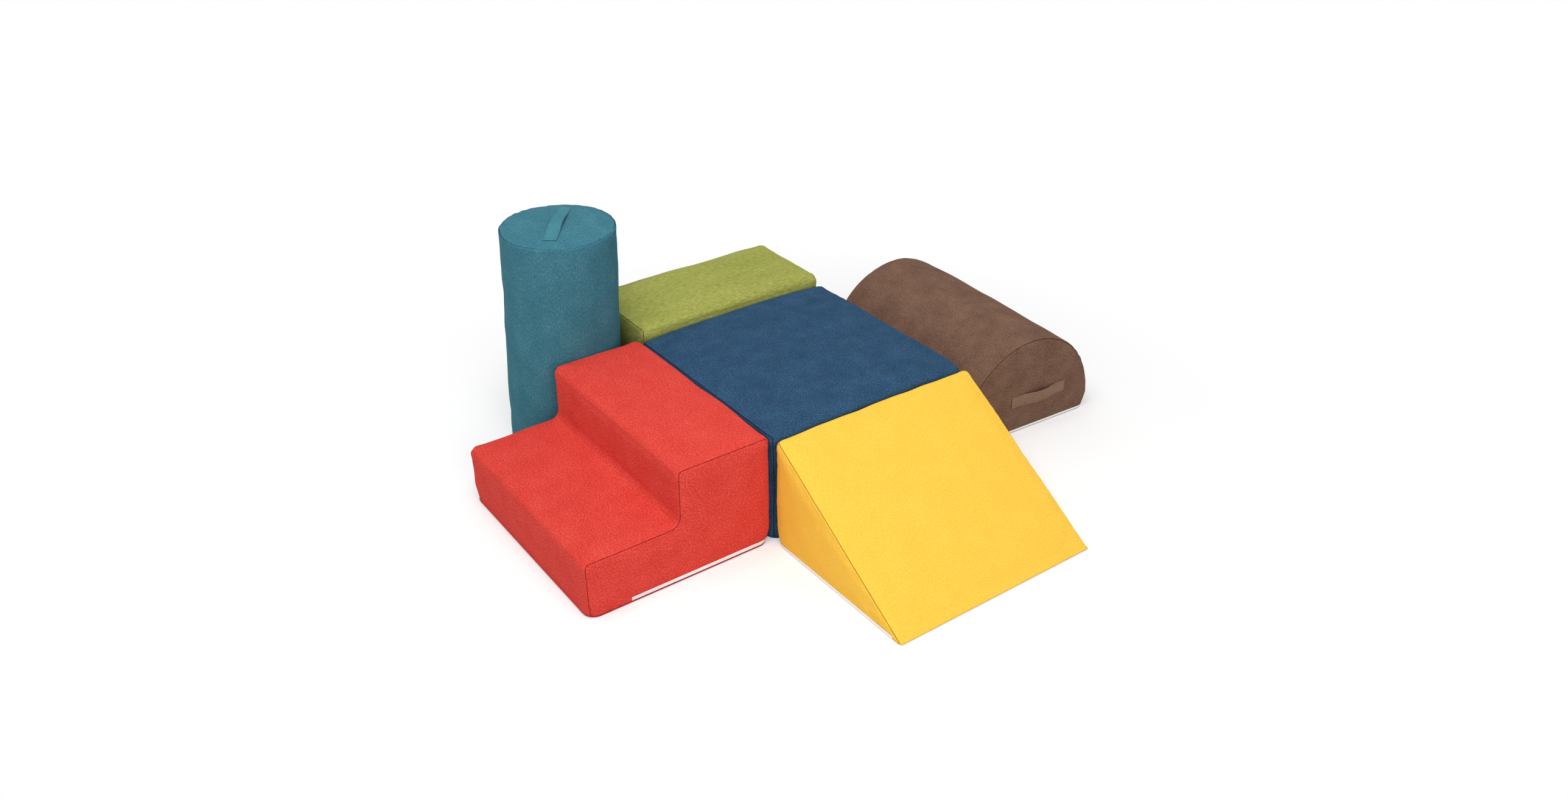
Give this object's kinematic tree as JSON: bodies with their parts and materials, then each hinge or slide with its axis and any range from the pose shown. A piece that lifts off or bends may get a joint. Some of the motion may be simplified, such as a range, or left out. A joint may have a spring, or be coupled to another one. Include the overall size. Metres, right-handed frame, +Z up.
{
  "type": "soft play foam climber",
  "caption": "Soft play climber of loose upholstered foam blocks: platform, steps, ramp, low beam, half round and upright roll, with zipped covers and carry straps.",
  "frame": {"origin": "floor level under the middle of the platform", "axes": "+X from the steps across the platform to the half round, +Y from the ramp to the beam, +Z up"},
  "size_m": [1.6651, 1.4047, 0.6354],
  "materials": {
    "platform_cover": "suede-like woven upholstery cloth, matt",
    "steps_cover": "suede-like woven upholstery cloth, matt",
    "ramp_cover": "suede-like woven upholstery cloth, matt",
    "beam_cover": "suede-like woven upholstery cloth, matt",
    "arch_cover": "suede-like woven upholstery cloth, matt",
    "roll_cover": "suede-like woven upholstery cloth, matt",
    "foam": "open-cell foam",
    "zip_tape": "woven zip tape, matt",
    "zip_metal": "plated die-cast slider, satin"
  },
  "bodies": {
    "platform_block": {"platform_foam_core": "foam", "platform_wrap_panel": "platform_cover", "platform_left_end_panel": "platform_cover", "platform_right_end_panel": "platform_cover", "platform_base_panel": "platform_cover", "platform_zip_lower_tape": "zip_tape", "platform_zip_upper_tape": "zip_tape"},
    "platform_slider": {"platform_zip_slider": "zip_metal"},
    "steps_block": {"steps_lower_foam_core": "foam", "steps_upper_foam_core": "foam", "steps_wrap_panel": "steps_cover", "steps_left_end_panel": "steps_cover", "steps_right_end_panel": "steps_cover", "steps_base_panel": "steps_cover", "steps_zip_lower_tape": "zip_tape", "steps_zip_upper_tape": "zip_tape"},
    "steps_slider": {"steps_zip_slider": "zip_metal"},
    "ramp_block": {"ramp_foam_core": "foam", "ramp_wrap_panel": "ramp_cover", "ramp_left_end_panel": "ramp_cover", "ramp_right_end_panel": "ramp_cover", "ramp_base_panel": "ramp_cover", "ramp_zip_lower_tape": "zip_tape", "ramp_zip_upper_tape": "zip_tape"},
    "ramp_slider": {"ramp_zip_slider": "zip_metal"},
    "beam_block": {"beam_foam_core": "foam", "beam_wrap_panel": "beam_cover", "beam_left_end_panel": "beam_cover", "beam_right_end_panel": "beam_cover", "beam_base_panel": "beam_cover", "beam_zip_lower_tape": "zip_tape", "beam_zip_upper_tape": "zip_tape"},
    "beam_slider": {"beam_zip_slider": "zip_metal"},
    "arch_block": {"arch_foam_core": "foam", "arch_wrap_panel": "arch_cover", "arch_left_end_panel": "arch_cover", "arch_right_end_panel": "arch_cover", "arch_base_panel": "arch_cover", "arch_zip_lower_tape": "zip_tape", "arch_zip_upper_tape": "zip_tape", "arch_carry_strap": "arch_cover"},
    "arch_slider": {"arch_zip_slider": "zip_metal"},
    "roll_block": {"roll_foam_core": "foam", "roll_tube_panel": "roll_cover", "roll_top_panel": "roll_cover", "roll_base_panel": "roll_cover", "roll_zip_lower_tape": "zip_tape", "roll_zip_upper_tape": "zip_tape", "roll_carry_strap": "roll_cover"},
    "roll_slider": {"roll_zip_slider": "zip_metal"}
  },
  "joints": [
    {"name": "steps_away", "type": "slide", "parent": "platform_block", "child": "steps_block", "axis": [-1, 0, 0], "range_m": [0, 0.4]},
    {"name": "ramp_away", "type": "slide", "parent": "platform_block", "child": "ramp_block", "axis": [0, -1, 0], "range_m": [0, 0.4]},
    {"name": "beam_away", "type": "slide", "parent": "platform_block", "child": "beam_block", "axis": [0, 1, 0], "range_m": [0, 0.4]},
    {"name": "arch_away", "type": "slide", "parent": "platform_block", "child": "arch_block", "axis": [1, 0, 0], "range_m": [0, 0.4]},
    {"name": "roll_away", "type": "slide", "parent": "platform_block", "child": "roll_block", "axis": [-0.7071, 0.7071, 0], "range_m": [0, 0.4]},
    {"name": "platform_zip", "type": "slide", "parent": "platform_block", "child": "platform_slider", "axis": [0, 1, 0], "range_m": [0, 0.44]},
    {"name": "steps_zip", "type": "slide", "parent": "steps_block", "child": "steps_slider", "axis": [1, 0, 0], "range_m": [0, 0.34]},
    {"name": "ramp_zip", "type": "slide", "parent": "ramp_block", "child": "ramp_slider", "axis": [0, 1, 0], "range_m": [0, 0.38]},
    {"name": "beam_zip", "type": "slide", "parent": "beam_block", "child": "beam_slider", "axis": [0, 1, 0], "range_m": [0, 0.16]},
    {"name": "arch_zip", "type": "slide", "parent": "arch_block", "child": "arch_slider", "axis": [0.9982, -0.0593, 0], "range_m": [0, 0.34]},
    {"name": "roll_zip", "type": "hinge", "parent": "roll_block", "child": "roll_slider", "pos_m": [-0.45871, 0.46734, 0.0103], "axis": [0, 0, 1], "range_deg": [-126, 0]}
  ]
}
